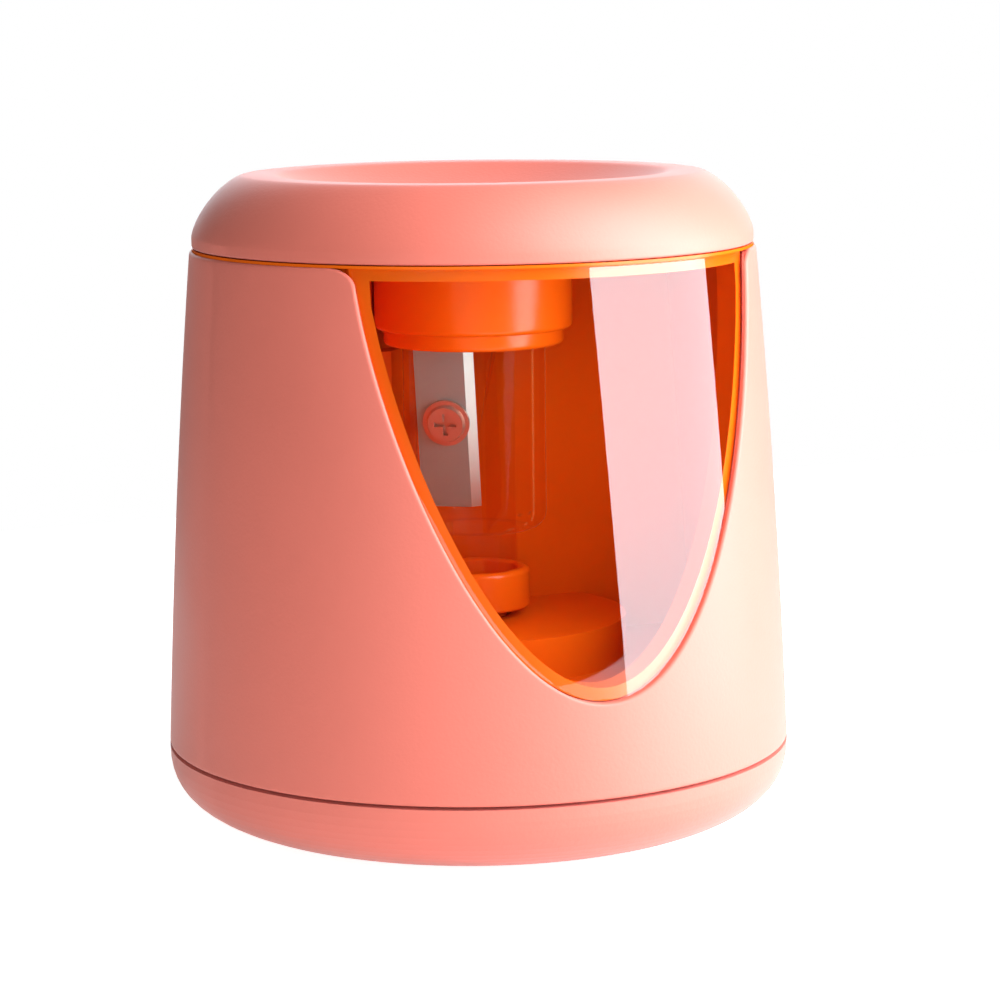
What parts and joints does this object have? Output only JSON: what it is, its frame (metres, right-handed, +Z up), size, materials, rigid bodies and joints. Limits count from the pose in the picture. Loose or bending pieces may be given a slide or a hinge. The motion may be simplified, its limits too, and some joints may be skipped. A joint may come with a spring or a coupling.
{
  "type": "pencil sharpener",
  "caption": "Round tapered battery sharpener: dished lid with pencil bore, clear rounded-U window, orange chamber with a clear spinning blade holder, geared drive and battery base.",
  "frame": {"origin": "centre of the round foot, on the surface it stands on", "axes": "+Z up along the cutter's axis, the window faces -Y, +X to the right of the window"},
  "size_m": [0.083, 0.083, 0.0862],
  "materials": {
    "pink_plastic": "fine matte",
    "orange_plastic": "glossy",
    "clear_plastic": "clear",
    "steel": "ground",
    "plated": "bright plated",
    "brass": "plain",
    "nylon": "satin",
    "black_plastic": "satin",
    "rubber": "matte",
    "cell_jacket": "printed film, plain",
    "ferrite": "dull",
    "winding": "enamelled copper",
    "red_sleeve": "satin",
    "white_sleeve": "satin"
  },
  "bodies": {
    "casing": {"body_shell": "pink_plastic", "window_pane": "clear_plastic", "chamber_liner": "orange_plastic", "base_tray": "pink_plastic", "base_screws": "plated", "screw_plugs": "pink_plastic", "feet": "rubber", "battery_cage": "black_plastic", "battery_cells": "cell_jacket", "top_contacts": "plated", "contact_springs": "plated", "chassis": "nylon", "chassis_screws": "plated", "motor_can": "steel", "motor_magnets": "ferrite", "idler_axle": "steel", "output_bush": "brass", "return_spring": "plated", "micro_switch": "black_plastic", "lever_pin": "brass", "red_wire": "red_sleeve", "black_wire": "black_plastic", "link_wire": "white_sleeve"},
    "lid": {"top_lid": "pink_plastic", "pencil_guide": "orange_plastic", "lid_liner": "orange_plastic", "lid_screws": "plated", "retaining_ring": "orange_plastic"},
    "float": {"thrust_washer": "nylon"},
    "cutter": {"blade_holder": "clear_plastic", "blade": "steel", "blade_screw": "plated"},
    "plunger": {"switch_plunger": "black_plastic"},
    "drive": {"drive_hub": "orange_plastic", "output_gear": "nylon", "output_shaft": "steel"},
    "idler": {"idler_gear": "nylon"},
    "rotor": {"motor_shaft": "steel", "armature": "winding", "pinion": "brass"},
    "lever": {"switch_lever": "plated"},
    "door": {"battery_door": "pink_plastic", "door_link": "brass"}
  },
  "joints": [
    {"name": "lid_lift", "type": "slide", "parent": "casing", "child": "lid", "axis": [0, 0, 1], "range_m": [0, 0.06]},
    {"name": "cutter_press", "type": "slide", "parent": "lid", "child": "float", "axis": [0, 0, -1], "range_m": [0, 0.0008], "stiffness_N_per_m": 1500, "springref_m": -0.001},
    {"name": "cutter_spin", "type": "hinge", "parent": "float", "child": "cutter", "pos_m": [0, 0, 0.05], "axis": [0, 0, 1], "continuous": true},
    {"name": "plunger_slide", "type": "slide", "parent": "casing", "child": "plunger", "axis": [0, 0, -1], "range_m": [0, 0.0008], "deforming": ["return_spring"]},
    {"name": "drive_spin", "type": "hinge", "parent": "plunger", "child": "drive", "pos_m": [0, 0, 0.02], "axis": [0, 0, 1], "continuous": true},
    {"name": "idler_spin", "type": "hinge", "parent": "casing", "child": "idler", "pos_m": [0.00948, -0.00961, 0.02], "axis": [0, 0, 1], "continuous": true},
    {"name": "rotor_spin", "type": "hinge", "parent": "casing", "child": "rotor", "pos_m": [0, -0.0185, 0.01], "axis": [0, 0, 1], "continuous": true},
    {"name": "lever_tilt", "type": "hinge", "parent": "casing", "child": "lever", "pos_m": [0, 0.0086, 0.0065], "axis": [1, 0, 0], "range_deg": [0, 9]},
    {"name": "battery_door_pull", "type": "slide", "parent": "casing", "child": "door", "axis": [0, 0, -1], "range_m": [0, 0.012]}
  ],
  "couplings": [
    {"joint": "plunger_slide", "follows": "cutter_press", "ratio": 1},
    {"joint": "lever_tilt", "follows": "cutter_press", "rad_per_m": 188.68},
    {"joint": "drive_spin", "follows": "cutter_spin", "ratio": 1},
    {"joint": "idler_spin", "follows": "cutter_spin", "ratio": -3.5},
    {"joint": "rotor_spin", "follows": "cutter_spin", "ratio": 14.7}
  ]
}
